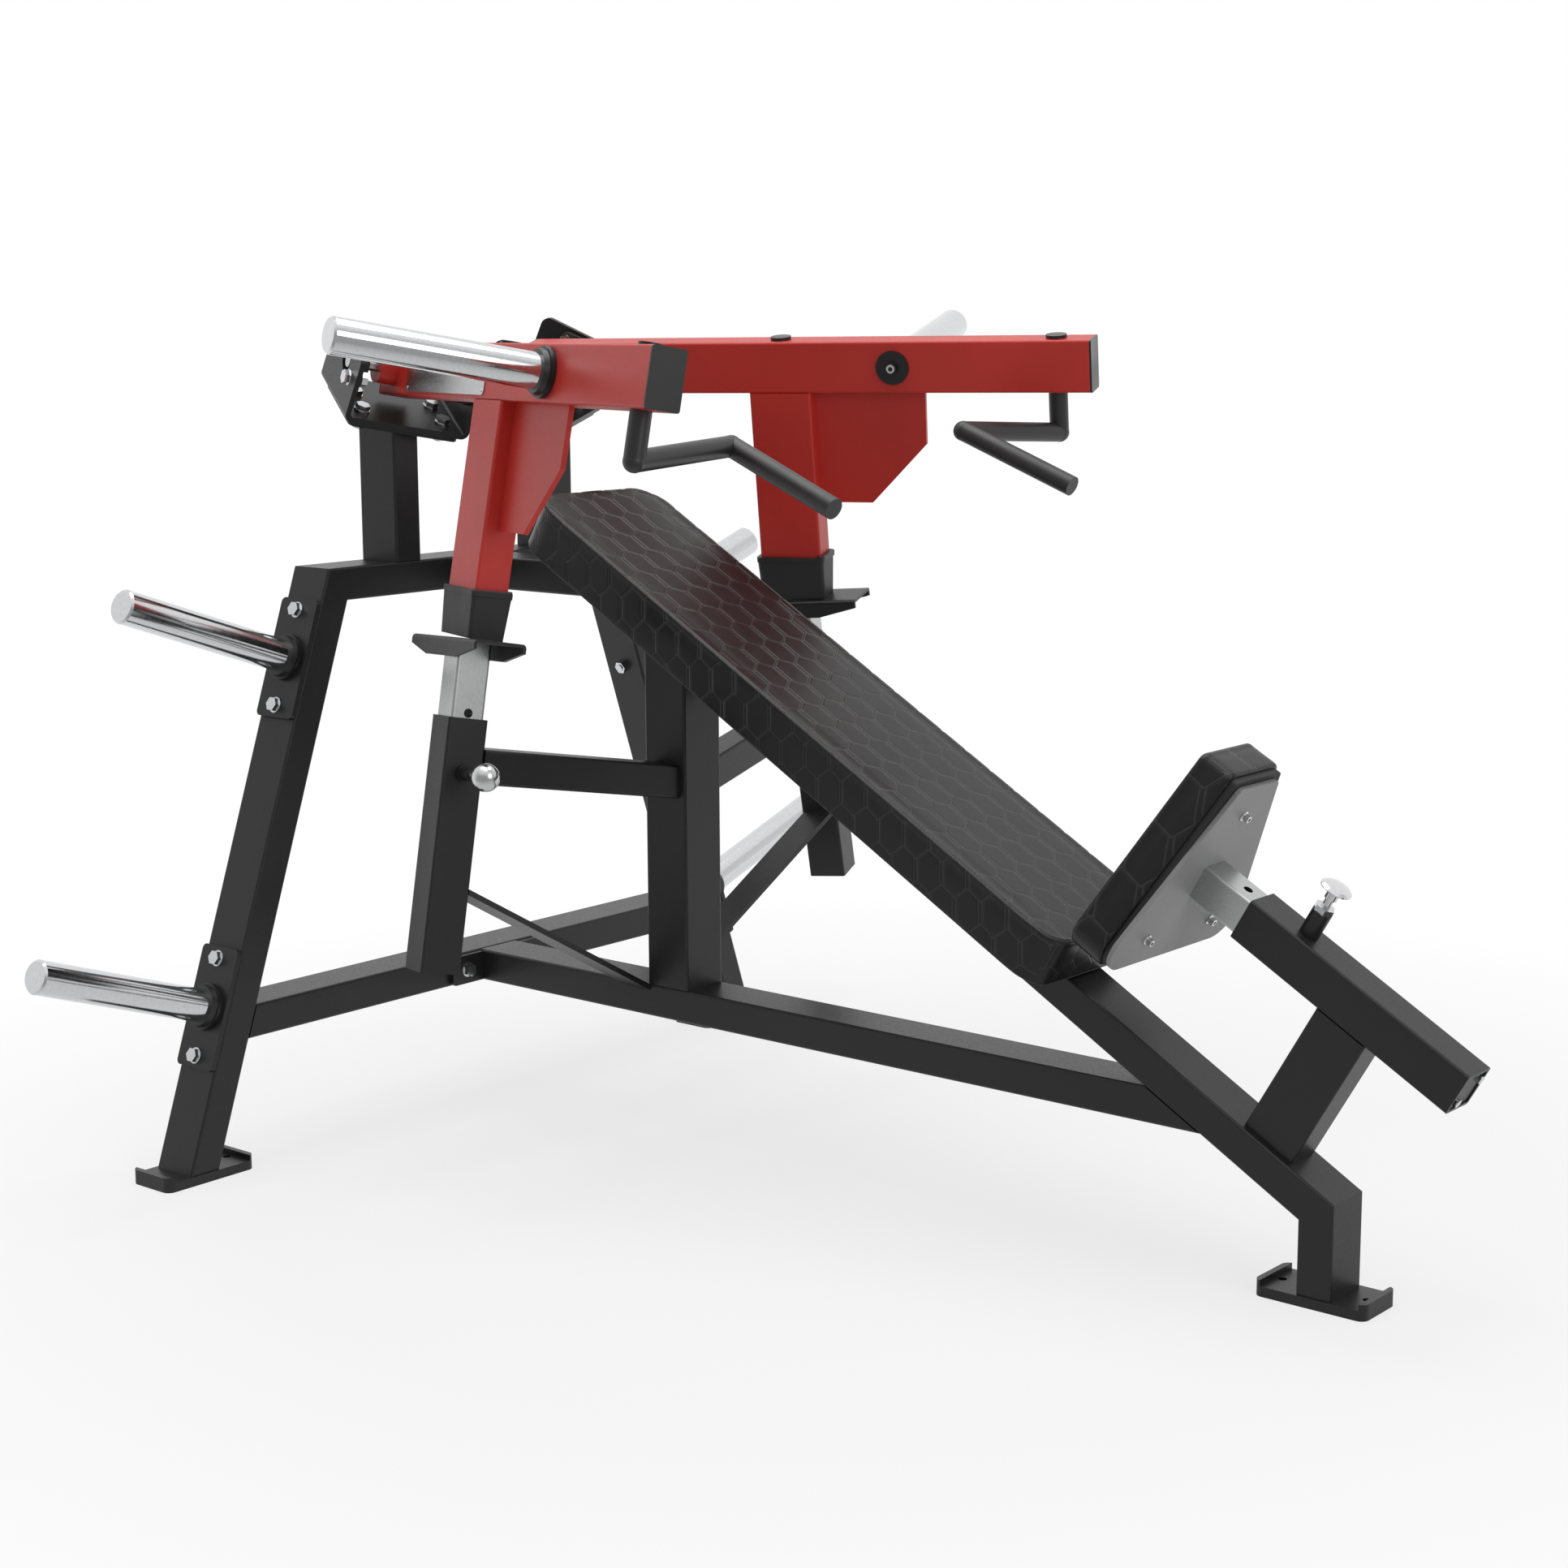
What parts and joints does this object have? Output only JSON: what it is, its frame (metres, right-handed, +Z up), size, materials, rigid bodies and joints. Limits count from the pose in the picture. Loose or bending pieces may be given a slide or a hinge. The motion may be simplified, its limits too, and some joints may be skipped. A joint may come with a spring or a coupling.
{
  "type": "plate-loaded incline chest press machine",
  "caption": "Plate-loaded incline chest press with converging lever arms, adjustable start stops, sliding seat, padded bench and weight storage horns on a tubular steel frame",
  "frame": {"origin": "on the floor, under the middle of the machine's length and width at rest", "axes": "X from the rear legs to the front foot, Y to the left of a user who lies on the bench, Z up"},
  "size_m": [1.8384, 1.7146, 1.2548],
  "materials": {
    "frame_paint": "satin textured black powder coat",
    "arm_paint": "satin red powder coat, finely speckled",
    "horn_chrome": "polished chrome",
    "bare_steel": "drawn bare steel",
    "zinc_steel": "zinc plated",
    "plate_steel": "grey painted steel plate",
    "plate_metal": "bare anodised plate",
    "black_plastic": "moulded gloss black",
    "bearing_iron": "black painted casting",
    "boot_rubber": "moulded black rubber",
    "grip_rubber": "matt black coating",
    "leatherette": "embossed black leatherette",
    "black_board": "black laminated board"
  },
  "bodies": {
    "frame": {"rear_leg_left": "frame_paint", "rear_leg_right": "frame_paint", "top_crossbar": "frame_paint", "lower_crossbar": "frame_paint", "pivot_uprights": "frame_paint", "base_tube": "frame_paint", "center_post": "frame_paint", "top_rail": "frame_paint", "incline_tube": "frame_paint", "front_post": "frame_paint", "seat_strut": "frame_paint", "seat_sleeve": "frame_paint", "stop_sleeve_left": "frame_paint", "stop_sleeve_right": "frame_paint", "stand_braces": "frame_paint", "stand_diagonals": "frame_paint", "foot_plates": "frame_paint", "storage_horns": "horn_chrome", "storage_plates": "frame_paint", "storage_collars": "black_plastic", "pivot_brackets": "frame_paint", "pivot_bearings": "bearing_iron", "frame_bolts": "zinc_steel", "frame_nuts": "zinc_steel", "bench_board": "black_board", "bench_pad": "leatherette", "pin_barrels": "frame_paint"},
    "left_arm": {"arm_tube_left": "arm_paint", "pivot_shaft_left": "bare_steel", "drop_leg_left": "arm_paint", "gusset_left": "arm_paint", "boot_left": "boot_rubber", "arm_caps_left": "black_plastic", "handle_left": "grip_rubber", "arm_horn_left": "horn_chrome", "horn_rings_left": "black_plastic", "name_plate_left": "plate_metal"},
    "left_stop": {"stop_post_left": "bare_steel", "stop_plate_left": "frame_paint"},
    "left_stop_pin": {"stop_pin_left": "bare_steel"},
    "right_arm": {"arm_tube_right": "arm_paint", "pivot_shaft_right": "bare_steel", "drop_leg_right": "arm_paint", "gusset_right": "arm_paint", "boot_right": "boot_rubber", "arm_caps_right": "black_plastic", "handle_right": "grip_rubber", "arm_horn_right": "horn_chrome", "horn_rings_right": "black_plastic", "name_plate_right": "plate_metal"},
    "right_stop": {"stop_post_right": "bare_steel", "stop_plate_right": "frame_paint"},
    "right_stop_pin": {"stop_pin_right": "bare_steel"},
    "seat": {"seat_post": "bare_steel", "seat_plate": "plate_steel", "seat_pad": "leatherette", "seat_screws": "zinc_steel"},
    "seat_plunger": {"seat_pin": "horn_chrome"}
  },
  "joints": [
    {"name": "left_arm_press", "type": "hinge", "parent": "frame", "child": "left_arm", "pos_m": [-0.78394, 0.1646, 1.1694], "axis": [0.3573, -0.9179, -0.1728], "range_deg": [0, 50]},
    {"name": "left_stop_height", "type": "slide", "parent": "frame", "child": "left_stop", "axis": [0.0005, -0.185, 0.9827], "range_m": [-0.056, 0]},
    {"name": "left_stop_pin_pull", "type": "slide", "parent": "frame", "child": "left_stop_pin", "axis": [0.9394, 0.3371, 0.063], "range_m": [-0.012, 0]},
    {"name": "right_arm_press", "type": "hinge", "parent": "frame", "child": "right_arm", "pos_m": [-0.78394, -0.1646, 1.1694], "axis": [-0.3573, -0.9179, 0.1728], "range_deg": [0, 50]},
    {"name": "right_stop_height", "type": "slide", "parent": "frame", "child": "right_stop", "axis": [0.0005, 0.185, 0.9827], "range_m": [-0.056, 0]},
    {"name": "right_stop_pin_pull", "type": "slide", "parent": "frame", "child": "right_stop_pin", "axis": [0.9394, -0.3371, 0.063], "range_m": [-0.012, 0]},
    {"name": "seat_height", "type": "slide", "parent": "frame", "child": "seat", "axis": [0.866, 0, -0.5], "range_m": [-0.1, 0.05]},
    {"name": "seat_pin_pull", "type": "slide", "parent": "frame", "child": "seat_plunger", "axis": [0.5, 0, 0.866], "range_m": [-0.012, 0]}
  ]
}
